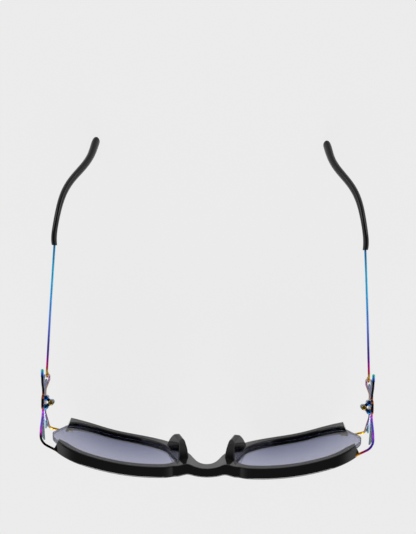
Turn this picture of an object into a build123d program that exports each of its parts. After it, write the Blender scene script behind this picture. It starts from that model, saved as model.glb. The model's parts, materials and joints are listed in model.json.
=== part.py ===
from build123d import *
import os
from math import asin, atan2, cos, degrees, hypot, radians, sin, sqrt, tan

# Butterfly sunglasses with a black acetate front, semi-open rims and a wire butterfly at each hinge.
# +Z is up, the front faces -Y and the temples run towards +Y, so the wearer's left side is at +X.
# The sunglasses stand on their lower rims and temple tips, and the origin is on the table under
# the middle of their outline. Lengths are in millimetres and angles in degrees.
os.makedirs("parts", exist_ok=True)

# Whole object
hinge_half_span = 67.9
fore_wing_reach = 16.5
temple_reach = 118.6
pantoscopic_angle = 10.2
seat_gap = 0.03
cut_overrun = 8.0

# Front, in its own upright frame: x across, y back from the foremost line, z up from the rim's foot
front_thickness = 5.0
face_radius = 100.0
face_centre_x = 20.0
upper_rim_end_x = 66.1
lower_rim_end_x = 64.0
rim_rounding = 0.6
lower_rim_end_height = 17.5
upper_rim_end_depth = 7.8
window_inner_x = 56.0
foremost_drop = 4.0
rest_drop = 0.315

# Lens outline, and the rim's margins around it
lens_nasal_x = 9.2
lens_width = 59.4
lens_height = 44.4
brow_rise = 4.4
nasal_lean = 11.4
temporal_lean = 7.4
nasal_top_radius = 9.0
temporal_top_radius = 13.0
temporal_bottom_radius = 16.0
nasal_bottom_radius = 22.0
lens_thickness = 1.9
lens_setback = 1.45
lens_clearance = 0.05
groove_depth = 0.9
sill_margin = 3.4
brow_margin = 4.0
nasal_margin = 4.4
temporal_margin = 4.0
outer_temporal_top_radius = 15.0
margin_rounding = 3.2

# Bridge and nose pads
bridge_half_width = 8.0
bridge_proud = -0.1
bridge_dip = 1.1
bridge_back = 4.15
bridge_blend = 4.0
bridge_drop = 4.8
bridge_depth = 1.3
bridge_block_half_width = 16.0
bridge_block_bottom = 17.0
bridge_top_blend = 2.5
arch_knee = 24.0
arch_bite = 0.25
arch_peak_radius = 5.0
arch_knee_radius = 18.0
arch_foot_blend = 6.0
pad_middle = 25.5
pad_height = 25.0
pad_reach = 7.9
pad_root_width = 5.4
pad_tip_width = 2.6
pad_belly_reach = 4.2
pad_belly_splay = 0.25
pad_belly_radius = 4.5
pad_splay = 0.6
pad_rounding = 1.0
pad_ridge_rounding = 0.5
pad_sink = 2.0

# Butterfly wires and body
wing_x = 71.6
wing_lean = 2.5
wire_diameter = 1.04
wire_setback = 0.8
socket_depth = 3.0
socket_clearance = 0.03
brow_wire_drop = 4.6
brow_wire_bend = 5.0
cheek_wire_height = 15.4
cheek_wire_angle = 13.0
cheek_exit_bend = 3.0
cheek_wire_bend = 1.6
shoulder_drop = 4.8
shoulder_distance = 10.8
shoulder_bend = 6.0
body_drop = 9.0
body_height = 14.0
body_half_length = 3.0
wire_inset = 3.2
waist_distance = 5.1
waist_bend = 3.0
lower_waist_bend = 1.6
hind_shoulder_drop = 7.0
hind_shoulder_distance = 9.2
hind_wing_reach = 14.7
hind_wing_end_drop = 6.6
ferrule_diameter = 1.26
ferrule_length = 3.4
ferrule_dome = 0.56
hind_foot_distance = 10.6
hind_foot_length = 2.2
hind_foot_depth = 11.5
hind_foot_bend = 1.0

# Wing leaves, stamped from sheet and pierced between their veins
leaf_thickness = 0.6
leaf_clearance = 0.04
upper_leaf_root_depth = 6.2
leaf_root_gap = 1.2
scallop_depth = 1.7
scallop_radius = 3.0
fore_upper_tip_distance = 17.6
fore_upper_tip_depth = 12.4
fore_lower_tip_distance = 12.6
fore_lower_tip_depth = 14.2
hind_upper_tip_distance = 12.2
hind_upper_tip_depth = 9.4
hind_lower_tip_distance = 9.4
hind_lower_tip_depth = 13.2
leaf_notch_distance = 8.6
vein_width = 0.75
wide_vein_width = 0.95
slim_vein_width = 0.6
vein_end_radius = 0.3
vein_belly_share = 0.62

# Hinge
post_radius = 1.15
post_height = 6.4
post_offset_x = 2.35
post_offset_y = 1.9
post_dome = 0.8
plate_thickness = 1.0
plate_rounding = 2.4
stop_gap = 0.05
arm_width = 1.3
knuckle_radius = 1.2
knuckle_height = 1.8
knuckle_gap = 0.1
knuckle_count = 3
screw_radius = 0.7
screw_clearance = 0.04
screw_head_radius = 1.08
screw_head_height = 0.8
screw_head_dome = 0.45
screw_slot_width = 0.3
screw_slot_depth = 0.35

# Temple wire and tip
temple_wire_diameter = 1.0
temple_drop = 0.4
temple_front_distance = 11.6
temple_heel = 1.4
temple_heel_bend = 1.2
temple_waist_distance = 40.0
temple_waist_inset = 1.1
temple_bend_distance = 83.0
temple_bend_inset = 3.1
ear_distance = 96.0
ear_inset = 7.1
drop_distance = 108.0
drop_inset = 16.3
end_inset = 18.6
end_setback = 1.42
temple_waist_bend = 600.0
temple_bend = 20.0
ear_bend = 35.0
drop_bend = 40.0
sleeve_distance = 68.5
core_share = 0.6
core_end_gap = 0.3
tip_start_thickness = 2.4
tip_start_height = 2.8
tip_thickness = 3.4
tip_height = 5.6
tip_rounding = 0.95

# Shares of the temple's height at the tip's bend, over the ear, on the drop and at the end
tip_height_shares = [0.951, 0.704, 0.338, 0.0628]

# Shares of the tip's length at which its section is set, and how far it has grown there
tip_station_shares = [0.0, 0.17, 0.33, 0.5, 0.67, 0.83, 1.0]
tip_growth_shares = [0.0, 0.12, 0.40, 0.70, 0.92, 1.0, 1.0]

frame_height = sill_margin + lens_height + brow_margin
window_top = frame_height - upper_rim_end_depth
bridge_top = frame_height - bridge_drop
arch_peak = bridge_top - bridge_depth
brow_wire_height = frame_height - brow_wire_drop
body_top = frame_height - body_drop
body_bottom = body_top - body_height
temple_height = body_bottom - temple_drop

# The upper wire leaves the rim's end along the lens curve, and its corner sets where the front is
upper_end_turn = asin((upper_rim_end_x - face_centre_x) / face_radius)
exit_radius = face_radius - wire_setback
exit_x = face_centre_x + exit_radius * sin(upper_end_turn)
exit_y = face_radius - exit_radius * cos(upper_end_turn)
corner_depth = exit_y + (wing_x - exit_x) * tan(upper_end_turn)
tilt = radians(pantoscopic_angle)
corner_setback = corner_depth * cos(tilt) - brow_wire_height * sin(tilt)
foremost_setback = -(frame_height - foremost_drop) * sin(tilt)
front_reach = fore_wing_reach + corner_setback - foremost_setback
hinge_y = (front_reach - temple_reach) / 2
face_y = hinge_y - fore_wing_reach - corner_setback
front_place = Pos(0, face_y, -rest_drop) * Rot(pantoscopic_angle, 0, 0)
left_place = Pos(hinge_half_span, hinge_y, 0)
wire_radius = wire_diameter / 2
upper_wire_z = body_top - wire_inset
lower_wire_z = body_bottom + wire_inset
upper_leaf_root_low = body_top - upper_leaf_root_depth
lower_leaf_root_high = upper_leaf_root_low - leaf_root_gap
body_edge = body_half_length + seat_gap


def closed_outline(corners, radii):
    """A flat face with straight sides and rounded corners."""
    return make_face(FilletPolyline(*corners, radius=radii, close=True))


def swept_rod(points, bends, diameter):
    """A round wire along straight runs joined by tangent arcs."""
    path = FilletPolyline(*points, radius=bends)
    section = Plane(path @ 0, z_dir=path % 0) * Circle(diameter / 2)
    return sweep(section, path=path)


def face_arc_point(radius, x):
    """The point at x on the arc of this radius about the lens curve's centre, seen from above."""
    return (x, face_radius - sqrt(radius**2 - (x - face_centre_x) ** 2))


def face_arc(radius, from_x, to_x):
    """The arc of this radius about the lens curve's centre, seen from above."""
    middle_x = (from_x + to_x) / 2
    ends = [face_arc_point(radius, x) for x in (from_x, middle_x, to_x)]
    return ThreePointArc(*ends)


def curved_shell(outer_radius, inner_radius, from_x, to_x):
    """An upright shell between two arcs of the lens curve, taller than the front."""
    outer = face_arc(outer_radius, from_x, to_x)
    inner = face_arc(inner_radius, from_x, to_x)
    sides = [Line(outer @ 0, inner @ 0), Line(outer @ 1, inner @ 1)]
    plan = make_face([outer, inner, *sides])
    return Pos(0, 0, -cut_overrun) * extrude(plan, frame_height + cut_overrun * 2)


def eye_outline(top, nasal, temporal, bottom, radii):
    """The lens outline with its sides moved outwards, seen from the front."""
    left = lens_nasal_x - nasal
    right = lens_nasal_x + lens_width + temporal
    low = sill_margin - bottom
    high = sill_margin + lens_height + top
    corners = [
        (left, high - brow_rise),
        (right, high),
        (right - temporal_lean, low),
        (left + nasal_lean, low),
    ]
    return closed_outline(corners, radii)


def seen_from_front(face):
    """Stand a flat outline up, facing -Y, and carry it through the whole front."""
    upright = Plane.XZ * face
    return extrude(upright, amount=-(face_radius / 2), both=True)


lens_radii = [nasal_top_radius, temporal_top_radius, temporal_bottom_radius, nasal_bottom_radius]


def lens_outline(swell):
    """The lens outline, swollen all round."""
    return eye_outline(swell, swell, swell, swell, [radius + swell for radius in lens_radii])


def rim_outline():
    """The outside of one rim."""
    radii = [radius + margin_rounding for radius in lens_radii]
    radii[1] = outer_temporal_top_radius
    return eye_outline(brow_margin, nasal_margin, temporal_margin, sill_margin, radii)


def nasal_line_x(height):
    """How far the rim's nasal side is from the middle at this height."""
    top = frame_height - brow_rise
    return lens_nasal_x - nasal_margin + nasal_lean * (1 - height / top)


def front_band():
    """The bent acetate sheet: two lens curves joined by the bridge's wave, seen from above."""
    reach = upper_rim_end_x + cut_overrun
    left_edges = []
    waves = []
    for radius, middle in ((face_radius, -bridge_proud), (face_radius - front_thickness, bridge_back)):
        edge = face_arc(radius, bridge_half_width + bridge_blend, reach)
        dip = (edge @ 0).Y + bridge_dip
        left_edges += [edge, Line(edge @ 0, (bridge_half_width, dip))]
        ends = [(-bridge_half_width, dip), (bridge_half_width, dip)]
        waves.append(ThreePointArc(ends[0], (0, middle), ends[1]))
    left_edges.append(Line(left_edges[0] @ 1, left_edges[2] @ 1))
    right_edges = [mirror(edge, about=Plane.YZ) for edge in left_edges]
    plan = make_face([*waves, *left_edges, *right_edges])
    inner = bridge_half_width + bridge_blend + seat_gap
    plan = fillet([v for v in plan.vertices() if abs(v.X) < inner], bridge_blend)
    return extrude(plan, frame_height + rim_rounding)


def arch_line_x(height):
    """How far the nose arch's side is from the middle at this height."""
    return nasal_line_x(height) + arch_bite


def nose_arch():
    """The outline of the opening for the nose, open below."""
    knee = arch_line_x(arch_knee)
    foot = arch_line_x(-cut_overrun)
    corners = [
        (0, arch_peak),
        (knee, arch_knee),
        (foot, -cut_overrun),
        (-foot, -cut_overrun),
        (-knee, arch_knee),
    ]
    radii = [arch_peak_radius, arch_knee_radius, 0, 0, arch_knee_radius]
    return closed_outline(corners, radii)


def front_outline():
    """Both rims and the bridge as one flat outline, seen from the front."""
    block_height = bridge_top - bridge_block_bottom
    block = Rectangle(bridge_block_half_width * 2, block_height)
    rim = rim_outline()
    opening = lens_outline(-groove_depth)
    flat = rim + mirror(rim, about=Plane.YZ)
    flat += Pos(0, bridge_block_bottom + block_height / 2) * block
    flat -= nose_arch()
    flat -= opening
    flat -= mirror(opening, about=Plane.YZ)
    shoulders = [v for v in flat.vertices() if abs(v.Y - bridge_top) < seat_gap]
    flat = fillet(shoulders, bridge_top_blend)
    feet = [v for v in flat.vertices() if v.Y < bridge_block_bottom]
    feet = [v for v in feet if abs(abs(v.X) - arch_line_x(v.Y)) < seat_gap]
    return fillet(feet, arch_foot_blend)


def nose_pad():
    """The left moulded-in nose pad: a splayed fin behind the rim, rounded off above and below."""
    back = front_thickness - pad_sink
    peak = front_thickness + pad_reach
    root_x = arch_line_x(pad_middle)
    lean = nasal_lean / (frame_height - brow_rise)
    tip_x = root_x + pad_splay
    fin = closed_outline(
        [
            (root_x, back),
            (root_x + pad_root_width, back),
            (tip_x + pad_tip_width, peak - pad_tip_width / 2),
            (tip_x, peak),
            (root_x + pad_belly_splay, front_thickness + pad_belly_reach),
        ],
        [0, 0, pad_rounding, pad_rounding, pad_belly_radius],
    )
    top = pad_middle + pad_height / 2
    bottom = pad_middle - pad_height / 2
    upright = extrude(fin, pad_height * 2, dir=(-lean, 0, 1))
    upright = Pos(lean * pad_height, 0, pad_middle - pad_height) * upright
    crown = ThreePointArc((back, bottom), (peak, pad_middle), (back, top))
    hump = make_face([crown, Line(crown @ 1, crown @ 0)])
    hump = extrude(Plane.YZ * hump, amount=face_centre_x * 2)
    pad = upright & hump
    ridge = [edge for edge in pad.edges() if edge.center().Y > front_thickness + pad_rounding]
    return fillet(ridge, pad_ridge_rounding)


def rim_end_cutter(end_x, base):
    """Everything beyond a squared-off rim end on the left, from this height upwards."""
    start = face_arc_point(face_radius, end_x)
    outward = Vector(start[0] - face_centre_x, start[1] - face_radius).normalized()
    inner = Vector(*start) - outward * (front_thickness + cut_overrun)
    outer = Vector(*start) + outward * cut_overrun
    far = Vector(outward.Y, -outward.X) * -(cut_overrun * 2)
    plan = make_face(Polyline(inner, outer, outer + far, inner + far, close=True))
    return Pos(0, 0, base) * extrude(plan, frame_height)


def wire_exit(height):
    """Where a wire leaves its rim end along the lens curve, and its run, in the front's own frame."""
    end_x = upper_rim_end_x if height > window_top else lower_rim_end_x
    turn = asin((end_x - face_centre_x) / face_radius)
    x = face_centre_x + exit_radius * sin(turn)
    y = face_radius - exit_radius * cos(turn)
    return Vector(x, y, height), Vector(cos(turn), sin(turn), 0)


def in_space(point):
    """A point of the front's own frame, in the object's frame."""
    return (front_place * Pos(*point)).position


def wire_socket(height):
    """The blind hole in a rim end that a wire is pushed into."""
    leave, run = wire_exit(height)
    mouth = leave + run * cut_overrun
    hole = Cylinder(
        wire_radius + socket_clearance,
        socket_depth + socket_clearance + cut_overrun,
        align=(Align.CENTER, Align.CENTER, Align.MAX),
    )
    return Plane(mouth, z_dir=run) * hole


def front():
    """The black acetate front, milled from one sheet."""
    body = front_band() & seen_from_front(front_outline())
    opening = seen_from_front(lens_outline(-groove_depth))
    sharp = [edge for edge in body.edges() if edge not in body.edges().filter_by(Axis.Y)]
    body = fillet(sharp, rim_rounding)
    window = Pos(window_inner_x, 0, lower_rim_end_height)
    window = window * Box(
        face_centre_x,
        face_radius,
        window_top - lower_rim_end_height,
        align=(Align.MIN, Align.CENTER, Align.MIN),
    )
    groove_shell = curved_shell(
        face_radius - lens_setback,
        face_radius - lens_setback - lens_thickness - lens_clearance * 2,
        0,
        upper_rim_end_x + cut_overrun,
    )
    groove = groove_shell & seen_from_front(lens_outline(lens_clearance))
    pad = nose_pad() - opening
    left_cuts = [
        rim_end_cutter(upper_rim_end_x, window_top),
        rim_end_cutter(lower_rim_end_x, lower_rim_end_height - frame_height),
        window,
        groove,
        wire_socket(brow_wire_height),
        wire_socket(cheek_wire_height),
    ]
    body += pad
    body += mirror(pad, about=Plane.YZ)
    for cut in left_cuts:
        body -= cut
        body -= mirror(cut, about=Plane.YZ)
    return front_place * body


def lens():
    """The left lens, curved like the front and set in the rim's groove."""
    outer = face_radius - lens_setback - lens_clearance
    shell = curved_shell(outer, outer - lens_thickness, 0, upper_rim_end_x + cut_overrun)
    return front_place * (shell & seen_from_front(lens_outline(0)))


def at_wing(distance, height):
    """A point of the left butterfly, behind the hinge axis by this distance. Lower wings lean in."""
    lean = max(0, lower_leaf_root_high - height) * tan(radians(wing_lean))
    return Vector(wing_x - lean, hinge_y + distance, height)


def wire_start(height, turn):
    """A wire's end in its socket, its way out, and where it meets the wing at this turn."""
    leave, run = wire_exit(height)
    inner = in_space(leave - run * socket_depth)
    mouth = in_space(leave)
    free_run = Vector(cos(turn), sin(turn), 0)
    corner = in_space(leave + free_run * ((at_wing(0, mouth.Z).X - leave.X) / free_run.X))
    return inner, mouth, corner


def fore_upper_points():
    inner, _, corner = wire_start(brow_wire_height, upper_end_turn)
    return [
        inner,
        corner,
        at_wing(-shoulder_distance, frame_height - shoulder_drop),
        at_wing(-waist_distance, upper_wire_z),
        at_wing(-body_edge, upper_wire_z),
    ]


def fore_lower_points():
    inner, mouth, corner = wire_start(cheek_wire_height, radians(cheek_wire_angle))
    return [
        inner,
        mouth,
        corner,
        at_wing(-waist_distance, lower_wire_z),
        at_wing(-body_edge, lower_wire_z),
    ]


def hind_upper_points():
    return [
        at_wing(body_edge, upper_wire_z),
        at_wing(waist_distance, upper_wire_z),
        at_wing(hind_shoulder_distance, frame_height - hind_shoulder_drop),
        at_wing(hind_wing_reach - ferrule_diameter / 2, frame_height - hind_wing_end_drop),
    ]


def hind_lower_points():
    return [
        at_wing(body_edge, lower_wire_z),
        at_wing(waist_distance, lower_wire_z),
        at_wing(hind_foot_distance - hind_foot_length, lower_wire_z - hind_foot_depth),
        at_wing(hind_foot_distance, lower_wire_z - hind_foot_depth),
        at_wing(temple_front_distance - temple_heel, temple_height),
        at_wing(temple_front_distance - seat_gap, temple_height),
    ]


fore_upper_bends = [brow_wire_bend, shoulder_bend, waist_bend]
fore_lower_bends = [cheek_exit_bend, cheek_wire_bend, lower_waist_bend]
hind_upper_bends = [waist_bend, shoulder_bend]
hind_lower_bends = [lower_waist_bend, hind_foot_bend, hind_foot_bend, temple_heel_bend]


def hind_upper_wire():
    """The hind wing's upper wire, with a thicker ferrule at its free end."""
    points = hind_upper_points()
    rod = swept_rod(points, hind_upper_bends, wire_diameter)
    run = (points[-1] - points[-2]).normalized()
    base = points[-1] - run * (ferrule_length - ferrule_diameter / 2)
    ferrule = Cylinder(
        ferrule_diameter / 2,
        ferrule_length,
        align=(Align.CENTER, Align.CENTER, Align.MIN),
    )
    ferrule = fillet(ferrule.edges().sort_by(Axis.Z)[-1], ferrule_dome)
    return rod + Plane(base, z_dir=run) * ferrule


def vein_holes(root, ends):
    """Slim openings that fan out from the wing's root, one towards each end."""
    holes = []
    for near_share, far_share, end, spread in ends:
        start = root + (end - root) * near_share
        stop = root + (end - root) * far_share
        along = (stop - start).normalized()
        side = Vector(along.Y, -along.X) * spread
        belly = start + (stop - start) * vein_belly_share
        corners = [start, belly + side, stop, belly - side]
        holes.append(closed_outline([(c.X, c.Y) for c in corners], vein_end_radius))
    return holes


def wing_leaf(corners, radii, root, ends, points, bends, lean=0):
    """One pierced leaf in the butterfly's plane, cut back from the wire that it is soldered to."""
    flat = closed_outline(corners, radii)
    for hole in vein_holes(Vector(*root), ends):
        flat -= hole
    plate = extrude(Plane.YZ * flat, amount=leaf_thickness / 2, both=True)
    plate = Rot(0, lean, 0) * Pos(0, 0, -lower_leaf_root_high) * plate
    plate = Pos(wing_x, hinge_y, lower_leaf_root_high) * plate
    plate -= swept_rod(points, bends, wire_diameter + leaf_clearance * 2)
    return plate.solids().sort_by(SortBy.VOLUME)[-1]


def flat_points(points):
    """The wing-plane places of a wire's points: distance behind the hinge axis, and height."""
    return [(point.Y - hinge_y, point.Z) for point in points]


def scallop(first, second, hub):
    """The inward point between two tips of a wing's edge."""
    middle = (Vector(*first) + Vector(*second)) / 2
    inward = (Vector(*hub) - middle).normalized() * scallop_depth
    return ((middle + inward).X, (middle + inward).Y)


def fore_upper_leaf():
    wire = fore_upper_points()
    _, corner, shoulder, waist, root = flat_points(wire)
    apex = (corner[0] + wire_diameter, corner[1])
    tip = (-fore_upper_tip_distance, body_top - fore_upper_tip_depth)
    notch = (-leaf_notch_distance, upper_leaf_root_low)
    hub = (root[0], (upper_leaf_root_low + root[1]) / 2)
    bay = scallop(apex, tip, hub)
    corners = [(root[0], upper_leaf_root_low), root, waist, shoulder, apex, bay, tip, notch]
    radii = [0, 0, 0, 0, vein_end_radius, scallop_radius, vein_end_radius, scallop_radius]
    ends = [
        (0.24, 0.90, Vector(*apex), vein_width),
        (0.22, 0.86, Vector(apex[0], (apex[1] + tip[1]) / 2), wide_vein_width),
        (0.24, 0.88, Vector(*tip), vein_width),
    ]
    return wing_leaf(corners, radii, hub, ends, wire[1:], fore_upper_bends[1:])


def lower_leaf(sign, tip, points, bends, corner):
    """A lower leaf, bounded by its wire, fore for a negative sign and hind for a positive one."""
    edge = sign * body_edge
    waist = (sign * waist_distance, lower_wire_z)
    notch = (sign * leaf_notch_distance, (lower_leaf_root_high + tip[1]) / 2)
    hub = (edge, (lower_leaf_root_high + lower_wire_z) / 2)
    bay = scallop(tip, corner, hub)
    corners = [(edge, lower_leaf_root_high), notch, tip, bay, corner, waist, (edge, lower_wire_z)]
    radii = [0, scallop_radius, vein_end_radius, scallop_radius, 0, 0, 0]
    middle = Vector((tip[0] + corner[0]) / 2, (tip[1] + corner[1]) / 2)
    ends = [
        (0.26, 0.86, Vector(*tip), slim_vein_width),
        (0.26, 0.88, middle, wide_vein_width),
        (0.40, 0.88, Vector(*corner), vein_width),
    ]
    return wing_leaf(corners, radii, hub, ends, points, bends, wing_lean)


def fore_lower_leaf():
    wire = fore_lower_points()
    corner = flat_points(wire)[2]
    tip = (-fore_lower_tip_distance, body_top - fore_lower_tip_depth)
    return lower_leaf(-1, tip, wire[2:], fore_lower_bends[2:], corner)


def hind_upper_leaf():
    wire = hind_upper_points()
    root, waist, shoulder, end = flat_points(wire)
    apex = (end[0] - ferrule_length, end[1])
    tip = (hind_upper_tip_distance, body_top - hind_upper_tip_depth)
    notch = (leaf_notch_distance, upper_leaf_root_low)
    hub = (root[0], (upper_leaf_root_low + root[1]) / 2)
    bay = scallop(apex, tip, hub)
    corners = [(root[0], upper_leaf_root_low), root, waist, shoulder, apex, bay, tip, notch]
    radii = [0, 0, 0, 0, vein_end_radius, scallop_radius, vein_end_radius, scallop_radius]
    ends = [
        (0.26, 0.90, Vector(*apex), slim_vein_width),
        (0.24, 0.86, Vector((apex[0] + tip[0]) / 2, (apex[1] + tip[1]) / 2), vein_width),
        (0.26, 0.86, Vector(*tip), slim_vein_width),
    ]
    return wing_leaf(corners, radii, hub, ends, wire, hind_upper_bends)


def hind_lower_leaf():
    wire = hind_lower_points()
    corner = flat_points(wire)[2]
    tip = (hind_lower_tip_distance, body_top - hind_lower_tip_depth)
    return lower_leaf(1, tip, wire, hind_lower_bends, corner)


def knuckle(level, side):
    """One hinge knuckle and the arm that carries it, counted from the barrel's top."""
    top = body_top - level * (knuckle_height + knuckle_gap)
    reach = hypot(post_offset_x, post_offset_y)
    turn = degrees(atan2(side * post_offset_y, post_offset_x))
    lift = Pos(0, 0, top - knuckle_height)
    foot = (Align.CENTER, Align.CENTER, Align.MIN)
    ring = Cylinder(knuckle_radius, knuckle_height, align=foot)
    arm = Box(reach, arm_width, knuckle_height, align=(Align.MIN, Align.CENTER, Align.MIN))
    return lift * (ring + Rot(0, 0, turn) * arm)


def hinge_leaf(side, levels):
    """Half of the butterfly's body, with its knuckles: fore for side -1 and hind for side 1."""
    foot = (Align.CENTER, Align.CENTER, Align.MIN)
    post = Cylinder(post_radius, post_height, align=foot)
    post = fillet(post.edges().filter_by(GeomType.CIRCLE), post_dome)
    post = Pos(post_offset_x, side * post_offset_y, body_top - post_height) * post
    plate_length = body_half_length - stop_gap
    plate = Box(plate_thickness, plate_length, body_height, align=foot)
    far_corners = plate.edges().filter_by(Axis.X).group_by(Axis.Y)[-1 if side > 0 else 0]
    plate = fillet(far_corners, plate_rounding)
    plate_y = side * (stop_gap + plate_length / 2)
    plate = Pos(wing_x - hinge_half_span, plate_y, body_bottom) * plate
    leaf = post + plate
    for level in levels:
        leaf += knuckle(level, side)
    bore = Cylinder(screw_radius + screw_clearance, body_height * 2)
    return left_place * (leaf - Pos(0, 0, body_top) * bore)


def hinge_screw():
    """The pivot screw, let in from above, with a domed and slotted head."""
    barrel = knuckle_count * (knuckle_height + knuckle_gap) - knuckle_gap
    foot = (Align.CENTER, Align.CENTER, Align.MIN)
    shank = Pos(0, 0, body_top - barrel) * Cylinder(screw_radius, barrel, align=foot)
    head = Cylinder(screw_head_radius, screw_head_height, align=foot)
    head = fillet(head.edges().sort_by(Axis.Z)[-1], screw_head_dome)
    slot = Pos(0, 0, screw_head_height - screw_slot_depth)
    slot = slot * Box(screw_head_radius * 2, screw_slot_width, screw_head_height, align=foot)
    return left_place * (shank + Pos(0, 0, body_top) * (head - slot))


def temple_points():
    """The temple's centre line, from its soldered end to the end of its tip."""
    heights = [temple_height * share for share in tip_height_shares]
    places = [
        (0, temple_front_distance, temple_height),
        (temple_waist_inset, temple_waist_distance, temple_height),
        (temple_bend_inset, temple_bend_distance, heights[0]),
        (ear_inset, ear_distance, heights[1]),
        (drop_inset, drop_distance, heights[2]),
        (end_inset, temple_reach - end_setback, heights[3]),
    ]
    root = at_wing(0, temple_height)
    return [Vector(root.X - inset, root.Y + back, height) for inset, back, height in places]


temple_bends = [temple_waist_bend, temple_bend, ear_bend, drop_bend]


def sleeve_point():
    """Where the tip's sleeve starts, on the straight run of the wire."""
    waist, bend = temple_points()[1:3]
    run = temple_bend_distance - temple_waist_distance
    return waist + (bend - waist) * ((sleeve_distance - temple_waist_distance) / run)


def core_end(extra):
    """The end of the wire's core inside the tip, or a little further on."""
    ear, drop = temple_points()[3:5]
    run = (drop - ear).normalized()
    return ear + (drop - ear) * core_share + run * extra


def temple_wire():
    """The thin side wire, which goes on inside the tip as its core."""
    points = [*temple_points()[:4], core_end(0)]
    return swept_rod(points, temple_bends[:3], temple_wire_diameter)


def tip_section(path, place, thickness, height):
    """The tip's oval section at this share of its length, upright across the path."""
    reach = place * path.length
    run = path.tangent_at(reach, position_mode=PositionMode.LENGTH)
    middle = path.position_at(reach, position_mode=PositionMode.LENGTH)
    level = run.cross(Vector(0, 0, 1)).normalized()
    plane = Plane(middle, x_dir=level, z_dir=run)
    return plane * Ellipse(thickness / 2, height / 2)


def temple_tip():
    """The acetate tip: a flattened, tapering sleeve, bent down and inwards."""
    points = [sleeve_point(), *temple_points()[2:]]
    path = FilletPolyline(*points, radius=temple_bends[1:])
    sections = []
    for place, growth in zip(tip_station_shares, tip_growth_shares):
        thickness = tip_start_thickness + (tip_thickness - tip_start_thickness) * growth
        height = tip_start_height + (tip_height - tip_start_height) * growth
        sections.append(tip_section(path, place, thickness, height))
    body = loft(sections)
    body = fillet(body.edges().sort_by(Axis.Y)[-1], tip_rounding)
    lead = (points[0] - points[1]).normalized() * temple_wire_diameter
    bore_points = [points[0] + lead, *points[1:3], core_end(core_end_gap)]
    bore = swept_rod(bore_points, temple_bends[1:3], temple_wire_diameter + socket_clearance * 2)
    return body - bore


left_pieces = {
    "lens": lens(),
    "fore_upper_wire": swept_rod(fore_upper_points(), fore_upper_bends, wire_diameter),
    "fore_lower_wire": swept_rod(fore_lower_points(), fore_lower_bends, wire_diameter),
    "fore_upper_leaf": fore_upper_leaf(),
    "fore_lower_leaf": fore_lower_leaf(),
    "front_hinge_leaf": hinge_leaf(-1, [0, 2]),
    "hinge_screw": hinge_screw(),
    "temple_hinge_leaf": hinge_leaf(1, [1]),
    "hind_upper_wire": hind_upper_wire(),
    "hind_lower_wire": swept_rod(hind_lower_points(), hind_lower_bends, wire_diameter),
    "hind_upper_leaf": hind_upper_leaf(),
    "hind_lower_leaf": hind_lower_leaf(),
    "temple_wire": temple_wire(),
    "temple_tip": temple_tip(),
}

export_step(front(), "parts/front.step")
for name, piece in left_pieces.items():
    export_step(piece, f"parts/left_{name}.step")
    export_step(mirror(piece, about=Plane.YZ), f"parts/right_{name}.step")
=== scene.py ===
import json
import math

import bpy
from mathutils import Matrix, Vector


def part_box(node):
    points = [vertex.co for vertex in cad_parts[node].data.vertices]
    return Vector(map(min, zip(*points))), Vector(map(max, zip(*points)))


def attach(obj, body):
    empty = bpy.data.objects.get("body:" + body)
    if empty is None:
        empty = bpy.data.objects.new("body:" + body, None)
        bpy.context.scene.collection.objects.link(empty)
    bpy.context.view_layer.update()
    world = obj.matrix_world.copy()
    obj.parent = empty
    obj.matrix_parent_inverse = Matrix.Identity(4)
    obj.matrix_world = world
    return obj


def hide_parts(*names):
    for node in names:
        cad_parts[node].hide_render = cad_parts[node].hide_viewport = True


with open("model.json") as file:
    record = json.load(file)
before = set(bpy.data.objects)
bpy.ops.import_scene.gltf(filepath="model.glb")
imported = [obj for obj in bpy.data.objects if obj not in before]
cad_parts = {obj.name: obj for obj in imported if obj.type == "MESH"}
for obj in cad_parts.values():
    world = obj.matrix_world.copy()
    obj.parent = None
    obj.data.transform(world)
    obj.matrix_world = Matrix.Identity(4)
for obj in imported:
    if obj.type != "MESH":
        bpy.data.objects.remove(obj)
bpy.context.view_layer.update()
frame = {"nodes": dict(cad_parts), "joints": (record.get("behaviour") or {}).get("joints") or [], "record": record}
nodes = frame["nodes"]
bodyOf = {name: body for body, names in frame["record"]["behaviour"]["bodies"].items() for name in names}
hinge = Vector(next(j["pos_m"] for j in frame["joints"] if j["name"] == "left_temple_fold"))
mm = 0.001
sides = {"left": 1, "right": -1}
wingLeaves = ("fore_upper_leaf", "fore_lower_leaf", "hind_upper_leaf", "hind_lower_leaf")
hingeLeaves = ("front_hinge_leaf", "temple_hinge_leaf")
bpy.ops.object.select_all(action="DESELECT")
print("frame loaded:", len(nodes), "nodes")


# sRGB hex to the linear colour that a shader works in
def linear(hexColour):
    parts = [int(hexColour[i:i + 2], 16) / 255 for i in (0, 2, 4)]
    return [c / 12.92 if c <= 0.04045 else ((c + 0.055) / 1.055) ** 2.4 for c in parts] + [1]


# one node with its settings and its incoming links, by the name of a setting or of a socket
def addNode(tree, kind, settings=None, links=None):
    node = tree.nodes.new(kind)
    for name, value in (settings or {}).items():
        if isinstance(name, str) and hasattr(node, name):
            setattr(node, name, value)
        else:
            node.inputs[name].default_value = value
    for name, source in (links or {}).items():
        tree.links.new(source, node.inputs[name])
    return node


# one step of arithmetic, on sockets or on plain numbers
def calculate(tree, operation, *values):
    node = addNode(tree, "ShaderNodeMath", {"operation": operation})
    for number, value in enumerate(values):
        if isinstance(value, (int, float)):
            node.inputs[number].default_value = value
        else:
            tree.links.new(value, node.inputs[number])
    return node.outputs[0]


# a value moved from one range to another, and held within it
def remap(tree, value, low, high, toLow=0.0, toHigh=1.0, curve="LINEAR"):
    return addNode(tree, "ShaderNodeMapRange",
                   {"interpolation_type": curve, "From Min": low, "From Max": high,
                    "To Min": toLow, "To Max": toHigh}, {"Value": value}).outputs["Result"]


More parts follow.
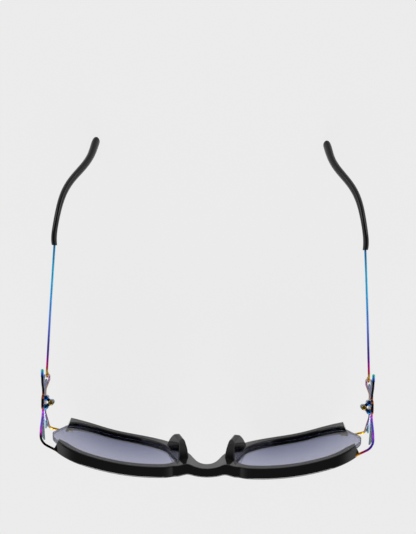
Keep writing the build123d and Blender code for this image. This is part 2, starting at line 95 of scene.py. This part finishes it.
# the three parts of a place or a direction, by the names X, Y and Z
def split(tree, vector):
    return addNode(tree, "ShaderNodeSeparateXYZ", links={"Vector": vector}).outputs


# a colour ramp whose stops are pairs of a position and a colour; new stops start in its middle
def ramp(tree, stops, position, middle=0.5):
    node = addNode(tree, "ShaderNodeValToRGB", links={"Fac": position})
    elements = node.color_ramp.elements
    while len(elements) < len(stops):
        elements.new(middle)
    for element, (place, colour) in zip(elements, stops):
        element.position = place
        element.color = linear(colour)
    return node.outputs["Color"]


# the values of the noise seldom leave the usual range, and a bump tilts the surface at half strength
noiseLook = {"detail": 2.0, "usual": (0.25, 0.75)}
bumpStrength = 0.5


# noise between 0 and 1 whose lumps are about as large as the grain
def lumps(tree, place, grain, detail=noiseLook["detail"]):
    return addNode(tree, "ShaderNodeTexNoise", {"Scale": 1 / grain, "Detail": detail},
                   {"Vector": place}).outputs["Fac"]


# noise as a value that swings between two limits
def unevenness(tree, place, grain, low, high):
    return remap(tree, lumps(tree, place, grain), *noiseLook["usual"], low, high)


# the normal of a surface that rises by a depth where the height goes from 0 to 1
def relief(tree, depth, height):
    return addNode(tree, "ShaderNodeBump", {"Distance": depth, "Strength": bumpStrength},
                   {"Height": height}).outputs["Normal"]


# an empty material, its node tree, and the place of a point in the object's own coordinates
def newMaterial(name):
    material = bpy.data.materials.new(name)
    material.use_nodes = True
    material.node_tree.nodes.clear()
    place = addNode(material.node_tree, "ShaderNodeTexCoord")
    return material, material.node_tree, place.outputs["Object"]


def finishMaterial(tree, shader):
    addNode(tree, "ShaderNodeOutputMaterial", links={"Surface": shader.outputs[0]})


def principled(tree, settings, links):
    finishMaterial(tree, addNode(tree, "ShaderNodeBsdfPrincipled", settings, links))


# black acetate, milled from sheet and tumbled: deep black with a glassy gloss that barely wavers
def tumbledAcetate():
    look = {"colour": "070708", "ior": 1.48, "roughness": (0.04, 0.09), "patch": 9 * mm,
            "wave": 5 * mm, "waveDepth": 0.012 * mm, "waveDetail": 1.0}
    material, tree, place = newMaterial("tumbled_black_acetate")
    waves = lumps(tree, place, look["wave"], look["waveDetail"])
    polish = unevenness(tree, place, look["patch"], *look["roughness"])
    principled(tree, {"Base Color": linear(look["colour"]), "IOR": look["ior"]},
               {"Normal": relief(tree, look["waveDepth"], waves), "Roughness": polish})
    return material


# tinted lens: lavender grey, with painted shade that makes it darker below than at the brow
def tintedLensWithPaintedShade():
    look = {"ior": 1.5, "low": 4 * mm, "high": 48 * mm,
            "stops": [(0.0, "5e6386"), (0.25, "7a7fa0"), (0.65, "a6a8c2"), (1.0, "babacc")]}
    material, tree, place = newMaterial("tinted_lens_with_painted_shade")
    # painted shade: the ramp darkens the tint from the brow down to the bottom of the lens
    height = remap(tree, split(tree, place)["Z"], look["low"], look["high"])
    principled(tree, {"Roughness": 0.0, "IOR": look["ior"], "Transmission Weight": 1.0},
               {"Base Color": ramp(tree, look["stops"], height)})
    return material


# the ground edge of the tinted lens: paler, and frosted so that it scatters the light
def groundEdge():
    look = {"colour": "b8bac6", "ior": 1.5, "clear": 0.7, "grain": 0.12 * mm, "roughness": (0.45, 0.65)}
    material, tree, place = newMaterial("ground_lens_edge")
    frost = unevenness(tree, place, look["grain"], *look["roughness"])
    principled(tree, {"Base Color": linear(look["colour"]), "IOR": look["ior"],
                      "Transmission Weight": look["clear"]}, {"Roughness": frost})
    return material


# plated metal: its colour follows the thickness of the film, and a fine grain makes it satin
def platedMetal(tree, place, stops, film, grain, roughness):
    principled(tree, {"Metallic": 1.0}, {"Base Color": ramp(tree, stops, film),
                                         "Roughness": unevenness(tree, place, grain, *roughness)})


# rainbow plating: a titanium film whose thickness, and so its colour, drifts along a piece.
# Each stop is a distance in mm along a direction, counted from a start, and the colour there
def rainbowPlating(name, stops, along, start, roughness=0.2, drift=0.4 * mm):
    look = {"cloud": 1.6 * mm, "grain": 0.25 * mm, "swing": 0.2}
    low, high = stops[0][0] * mm, stops[-1][0] * mm
    material, tree, place = newMaterial(name)
    parts = split(tree, place)
    mirrored = addNode(tree, "ShaderNodeCombineXYZ",
                       links={"X": calculate(tree, "ABSOLUTE", parts["X"]), "Y": parts["Y"], "Z": parts["Z"]})
    run = addNode(tree, "ShaderNodeVectorMath", {"operation": "DOT_PRODUCT", 1: along},
                  {0: mirrored.outputs["Vector"]})
    clouds = unevenness(tree, place, look["cloud"], -drift, drift)
    film = remap(tree, calculate(tree, "ADD", run.outputs["Value"], clouds), low + start, high + start)
    platedMetal(tree, place, [((reach * mm - low) / (high - low), colour) for reach, colour in stops], film,
                look["grain"], (roughness * (1 - look["swing"]), roughness * (1 + look["swing"])))
    return material


# wing leaves, stamped sheet with a satin plating: lavender by the body and dark teal at the tips
def platedLeaf():
    look = {"root": 3 * mm, "tip": 17 * mm, "roughness": (0.4, 0.55), "cloud": 2.5 * mm, "drift": 0.12,
            "grain": 0.3 * mm,
            "stops": [(0.0, "c0b8d0"), (0.25, "a6a6c4"), (0.5, "8aa0b4"), (0.72, "6b90a0"), (1.0, "20525c")]}
    material, tree, place = newMaterial("satin_plated_leaf")
    away = calculate(tree, "ABSOLUTE", calculate(tree, "SUBTRACT", split(tree, place)["Y"], hinge.y))
    clouds = unevenness(tree, place, look["cloud"], -look["drift"], look["drift"])
    film = calculate(tree, "ADD", remap(tree, away, look["root"], look["tip"]), clouds)
    platedMetal(tree, place, look["stops"], film, look["grain"], look["roughness"])
    return material


# bare metal whose colour changes in patches, and whose surface is lumpy where lumps have a depth
def patchyMetal(name, look):
    material, tree, place = newMaterial(name)
    patches = lumps(tree, place, look["grain"])
    links = {"Base Color": ramp(tree, look["stops"], patches)}
    if "lump" in look:
        links["Normal"] = relief(tree, look["lump"], patches)
    principled(tree, {"Metallic": 1.0, "Roughness": look["roughness"]}, links)
    return material


acetate = tumbledAcetate()
# the lens material is its lavender grey tint with painted shade that darkens it below
lensTintAndPaintedShade = tintedLensWithPaintedShade()
lensEdge = groundEdge()
leafPlating = platedLeaf()
# hinge screw: turned brass with a bronze film, worn brighter in patches
screwMetal = patchyMetal("bronzed_screw", {"grain": 0.5 * mm, "roughness": 0.24,
                                           "stops": [(0.3, "8a7434"), (0.7, "c4a850")]})
# solder at a wire's root: warm gold, slightly lumpy
solder = patchyMetal("gold_solder", {"grain": 0.3 * mm, "roughness": 0.22, "lump": 0.008 * mm,
                                     "stops": [(0.3, "b07c28"), (0.55, "d8a83c"), (0.8, "e8cc70")]})

# stops in mm behind the hinge axis: the temple wire is gold at its root, then red, pink, violet and
# blue; the upper hind wire is near black, with an orange root and a blue-green end; the body is blue
backwards = {"along": (0, 1, 0), "start": hinge.y}
templeStops = [(11.6, "e8c878"), (13.2, "c89838"), (14.0, "c04040"), (15.2, "d82080"), (18, "b830b0"),
               (20.5, "6c38b0"), (24, "5850b0"), (30, "6a7ae0"), (36, "78a4ff"), (41, "62b0ff"),
               (51.5, "4cccff"), (57, "48c8f0"), (67.5, "3088c0")]
hindStops = [(2.2, "e06820"), (3.2, "a03828"), (4.4, "0a0a10"), (11.4, "0c0c18"), (12.3, "2060d0"),
             (13.4, "40a0f0"), (14.2, "38c8b0"), (15.2, "50c890")]
bodyStops = [(-4, "1a4a90"), (-2.2, "3a86c4"), (-1, "16407c"), (0, "182c50"), (1, "2468b0"),
             (2.4, "143a78"), (4, "0c2448")]
# the outer face of the body has bands of orange, red, teal and near black, from the heat of soldering
edgeStops = [(-3.4, "d040b0"), (-2.7, "c86420"), (-2.0, "20100c"), (-1.0, "201018"), (-0.6, "a03848"),
             (-0.1, "101c28"), (0.7, "184a60"), (1.3, "30201c"), (1.9, "c86018"), (2.8, "401410")]
platedTemple = rainbowPlating("plated_temple_wire", templeStops, roughness=0.36, **backwards)
platedHind = rainbowPlating("plated_hind_wire", hindStops, roughness=0.3, **backwards)
platedBody = rainbowPlating("plated_body", bodyStops, roughness=0.16, **backwards)
platedEdge = rainbowPlating("plated_body_edge", edgeStops, roughness=0.14, drift=0.2 * mm, **backwards)

# stops in mm in front of the hinge axis, added to those inwards from the wing, of which each counts
# as 1.3: the left wire is a full rainbow on its way round the corner, and the right one goes dark
inwardWeight = 1.3
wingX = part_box("left_fore_upper_leaf")[1].x
forwards = {"along": (-inwardWeight, -1, 0), "start": -inwardWeight * wingX - hinge.y}
foreStops = {
    "left": [(2.4, "c06a30"), (3.2, "f050dc"), (5, "c45cf0"), (7, "8060f0"), (9.5, "5a55d8"),
             (12, "a040c8"), (14.5, "5038a8"), (18, "4434b0"), (21, "7a2a9c"), (24, "b02878"),
             (26, "c83038"), (28, "e0a020")],
    "right": [(2.4, "c06a30"), (3.2, "f050dc"), (5, "c45cf0"), (7, "9a70f4"), (9.5, "7a60e8"),
              (12, "d040d0"), (13.4, "80207a"), (14.6, "0c0a10"), (23, "08080a"), (28, "2a1a10")]}
platedFore = {side: rainbowPlating("plated_fore_wire_" + side, foreStops[side], **forwards) for side in sides}

# stops in mm above the table: the lower fore wire is gold below and violet above, and the lower hind
# wire is pale pink below and gold above
upwards = {"along": (0, 0, 1), "start": 0}
cheekStops = [(16, "f0c828"), (17.4, "e8b820"), (20, "c87828"), (24, "b03a70"), (31, "5a3aa8")]
hindLowStops = [(20, "c8a0c0"), (23, "c07aa8"), (27, "c08050"), (32, "c09038")]
platedCheek = rainbowPlating("plated_cheek_wire", cheekStops, **upwards)
platedHindLow = rainbowPlating("plated_hind_lower_wire", hindLowStops, **upwards)
print("materials made")


# a node keeps its shape and gets a better material
def wear(nodeName, material):
    for slot in nodes[nodeName].material_slots:
        slot.material = material


# what each piece is made of, by its name without the side
finishes = {"lens": lensTintAndPaintedShade, "temple_tip": acetate, "temple_wire": platedTemple,
            "hind_upper_wire": platedHind, "hind_lower_wire": platedHindLow,
            "fore_lower_wire": platedCheek, "hinge_screw": screwMetal,
            **dict.fromkeys(wingLeaves, leafPlating), **dict.fromkeys(hingeLeaves, platedBody)}
wear("front", acetate)
for side in sides:
    wear(side + "_fore_upper_wire", platedFore[side])
    for part, material in finishes.items():
        wear(side + "_" + part, material)
print("materials on the nodes")


# a node's mesh as a new object with its seams merged. Where an angle is given, neighbouring faces
# that turn by less than it become one
def workingCopy(nodeName, flatAngle=None, seam=0.001 * mm):
    bpy.ops.object.select_all(action="DESELECT")
    piece = nodes[nodeName].copy()
    piece.data = nodes[nodeName].data.copy()
    piece.name = nodeName + "_finished"
    bpy.context.collection.objects.link(piece)
    bpy.context.view_layer.objects.active = piece
    piece.select_set(True)
    if piece.data.has_custom_normals:
        bpy.ops.mesh.customdata_custom_splitnormals_clear()
    bpy.ops.object.mode_set(mode="EDIT")
    bpy.ops.mesh.select_all(action="SELECT")
    bpy.ops.mesh.remove_doubles(threshold=seam)
    if flatAngle:
        bpy.ops.mesh.dissolve_limited(angle_limit=math.radians(flatAngle))
    bpy.ops.object.mode_set(mode="OBJECT")
    return piece


# the faces that a test picks get a material of their own
def finishFaces(piece, material, picks):
    piece.data.materials.append(material)
    for face in piece.data.polygons:
        if picks(face):
            face.material_index = len(piece.data.materials) - 1


def standFor(piece, nodeName):
    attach(piece, bodyOf[nodeName])
    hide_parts(nodeName)


# stamped sheet: the same plate with its edges broken, so that they catch the light. The angles are
# in degrees, and the body's outer face lies further from the middle than outerFrom
sheet = {"bevel": 0.08 * mm, "segments": 2, "sharp": 38, "flat": 1.0, "smooth": 32, "outerFrom": 71 * mm}
for side in sides:
    for leaf in wingLeaves + hingeLeaves:
        plate = workingCopy(side + "_" + leaf, sheet["flat"])
        bevel = plate.modifiers.new("broken_edge", "BEVEL")
        bevel.width = sheet["bevel"]
        bevel.segments = sheet["segments"]
        bevel.limit_method = "ANGLE"
        bevel.angle_limit = math.radians(sheet["sharp"])
        bevel.use_clamp_overlap = True
        bpy.ops.object.modifier_apply(modifier=bevel.name)
        bpy.ops.object.shade_smooth_by_angle(angle=math.radians(sheet["smooth"]))
        if leaf in hingeLeaves:
            finishFaces(plate, platedEdge, lambda face: abs(face.center.x) > sheet["outerFrom"])
        standFor(plate, side + "_" + leaf)
print("plates finished")

# lens: its bare temporal edge bows out between the rims' ends and is ground all round. Each pair of
# the bow is a height and how far the edge stands out there, in mm. Sideways it builds up from starts to
# ends, slowly at first, as growth is a power, and it slants back by slope. A face is part of the ground
# edge where less than rimFace of its normal points ahead or back
lensShape = {"bow": [(17.5, 0), (22, 0.3), (26, 0.6), (30, 0.9), (34, 1.1), (37, 1.5), (39, 1.75),
                     (41, 2.0), (42.5, 2.1), (44, 1.9), (45.5, 1.3), (47.5, 0)],
             "starts": 54 * mm, "ends": 65 * mm, "growth": 2, "slope": 0.52, "rimFace": 0.55, "smooth": 30}


def bowAt(height):
    for (low, lowBow), (high, highBow) in zip(lensShape["bow"], lensShape["bow"][1:]):
        if low * mm <= height <= high * mm:
            return (lowBow + (highBow - lowBow) * (height / mm - low) / (high - low)) * mm
    return 0


for side, sign in sides.items():
    lens = workingCopy(side + "_lens")
    for point in lens.data.vertices:
        out = (abs(point.co.x) - lensShape["starts"]) / (lensShape["ends"] - lensShape["starts"])
        if out > 0:
            bow = bowAt(point.co.z) * min(out, 1) ** lensShape["growth"]
            point.co.x += sign * bow
            point.co.y += lensShape["slope"] * bow
    finishFaces(lens, lensEdge, lambda face: abs(face.normal.y) < lensShape["rimFace"])
    bpy.ops.object.shade_smooth_by_angle(angle=math.radians(lensShape["smooth"]))
    standFor(lens, side + "_lens")
    print(side, "lens:", len(lens.data.vertices), "vertices,", len(lens.data.polygons), "faces")


# the middle of a wire's rear end, or of its front end where toRear is -1
def wireEnd(nodeName, toRear, endDepth=0.01 * mm):
    points = [v.co for v in nodes[nodeName].data.vertices]
    reach = max(toRear * p.y for p in points)
    ring = [p for p in points if toRear * p.y > reach - endDepth]
    return sum(ring, Vector()) / len(ring)


# the piece that was just added becomes solder on a body, drawn out along the temple by stretch
def solderOn(name, body, stretch=1):
    piece = bpy.context.object
    piece.scale = (1, stretch, 1)
    bpy.ops.object.transform_apply(location=True, rotation=True, scale=True)
    piece.name = name
    piece.data.materials.append(solder)
    bpy.ops.object.shade_smooth()
    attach(piece, body)


# solder: a collar of it round each wing wire's root, and a long bead at the foot of each temple wire.
# A wire's root is its end by the hinge axis: the rear end of a fore wire, the front end of a hind wire
roots = {"fore_upper_wire": 1, "fore_lower_wire": 1, "hind_upper_wire": -1, "hind_lower_wire": -1}
collar = {"radius": 0.47 * mm, "tubeRadius": 0.14 * mm, "off": 0.12 * mm, "segments": 28, "tubeSegments": 10}
bead = {"radius": 0.56 * mm, "stretch": 1.7, "rings": 12, "segments": 20}
for side in sides:
    for wire, toRear in roots.items():
        root = wireEnd(side + "_" + wire, toRear)
        root.y -= toRear * collar["off"]
        bpy.ops.object.select_all(action="DESELECT")
        bpy.ops.mesh.primitive_torus_add(
            major_radius=collar["radius"], major_segments=collar["segments"],
            minor_radius=collar["tubeRadius"], minor_segments=collar["tubeSegments"],
            location=root, rotation=(math.radians(90), 0, 0))
        solderOn(side + "_" + wire.replace("wire", "solder"), bodyOf[side + "_" + wire])
    foot = wireEnd(side + "_temple_wire", -1)
    bpy.ops.object.select_all(action="DESELECT")
    bpy.ops.mesh.primitive_uv_sphere_add(segments=bead["segments"], ring_count=bead["rings"],
                                         radius=bead["radius"], location=foot)
    solderOn(side + "_temple_wire_solder", bodyOf[side + "_temple_wire"], bead["stretch"])
    print(side, "solder: temple wire foot at", [round(c / mm, 2) for c in foot])

# floor: a pale sheet that keeps a faint shadow. Each kind of ray sees a share of it as the plain
# background of the photograph
floorLook = {"size": 12.0, "below": 0.05 * mm, "colour": "eeeeee", "shown": "ededed",
             "shares": {"Is Camera Ray": 0.94, "Is Transmission Ray": 0.8, "Is Glossy Ray": 0.12}}
bpy.ops.mesh.primitive_plane_add(size=floorLook["size"], location=(0, 0, -floorLook["below"]))
floor = bpy.context.object
floor.name = "floor"
paper, paperTree = newMaterial("pale_paper")[:2]
rays = addNode(paperTree, "ShaderNodeLightPath").outputs
plainShare = 0
for ray, share in floorLook["shares"].items():
    seen = calculate(paperTree, "MULTIPLY", rays[ray], share)
    plainShare = calculate(paperTree, "MAXIMUM", plainShare, seen)
matt = addNode(paperTree, "ShaderNodeBsdfDiffuse", {"Color": linear(floorLook["colour"])})
plain = addNode(paperTree, "ShaderNodeEmission", {"Color": linear(floorLook["shown"]), "Strength": 1.0})
finishMaterial(paperTree, addNode(paperTree, "ShaderNodeMixShader",
                                  links={0: plainShare, 1: matt.outputs[0], 2: plain.outputs[0]}))
floor.data.materials.append(paper)

# light: a pale tent, bright low down and dim straight above, where the camera stands, and brighter in
# front of the sunglasses than behind them. It dims between two heights, from and to, where 0 is level
# and 1 straight above. The camera sees it as the plain background
tent = {"low": 1.15, "high": 0.11, "from": 0.32, "to": 0.92, "front": 1.35, "rear": 0.45,
        "colour": "ffffff", "shown": "ededed"}
world = bpy.data.worlds.new("pale_tent")
bpy.context.scene.world = world
world.use_nodes = True
skyTree = world.node_tree
skyTree.nodes.clear()
direction = split(skyTree, addNode(skyTree, "ShaderNodeTexCoord").outputs["Generated"])
level = remap(skyTree, direction["Z"], tent["from"], tent["to"], tent["low"], tent["high"], "SMOOTHSTEP")
facing = remap(skyTree, direction["Y"], -1, 1, tent["front"], tent["rear"])
lit = addNode(skyTree, "ShaderNodeBackground", {"Color": linear(tent["colour"])},
              {"Strength": calculate(skyTree, "MULTIPLY", level, facing)})
shown = addNode(skyTree, "ShaderNodeBackground", {"Color": linear(tent["shown"]), "Strength": 1.0})
skyRays = addNode(skyTree, "ShaderNodeLightPath").outputs
sky = addNode(skyTree, "ShaderNodeMixShader",
              links={0: skyRays["Is Camera Ray"], 1: lit.outputs[0], 2: shown.outputs[0]})
addNode(skyTree, "ShaderNodeOutputWorld", links={"Surface": sky.outputs[0]})

# three softboxes turned to the origin, with their places in metres and their power in watts
softboxSize = 0.45
softboxes = {"brow_softbox": {"at": (0, -1.05, 0.52), "power": 7.0},
             "left_softbox": {"at": (0.75, 0.4, 0.6), "power": 1.2},
             "right_softbox": {"at": (-0.75, 0.4, 0.6), "power": 1.2}}
for name, box in softboxes.items():
    bpy.ops.object.light_add(type="AREA", location=box["at"])
    lamp = bpy.context.object
    lamp.name = name
    lamp.data.size = softboxSize
    lamp.data.energy = box["power"]
    lamp.rotation_euler = (-Vector(box["at"])).to_track_quat("-Z", "Y").to_euler()

# camera: straight above, as far up as the photograph's perspective says. The focal length and the
# long side are in the photograph's pixels, the sensor's width in mm and the roll in degrees
view = {"x": -0.7 * mm, "y": 16.3 * mm, "height": 752 * mm, "pixelFocus": 1635.5, "pixelLongSide": 534,
        "roll": 0.9, "sensor": 36.0}
bpy.ops.object.camera_add(location=(view["x"], view["y"], view["height"]),
                          rotation=(0, 0, math.radians(view["roll"])))
camera = bpy.context.object
camera.data.sensor_width = view["sensor"]
camera.data.lens = view["sensor"] * view["pixelFocus"] / view["pixelLongSide"]
bpy.context.scene.camera = camera
bpy.context.scene.view_settings.view_transform = "Standard"
print("stage, lamps and camera made")
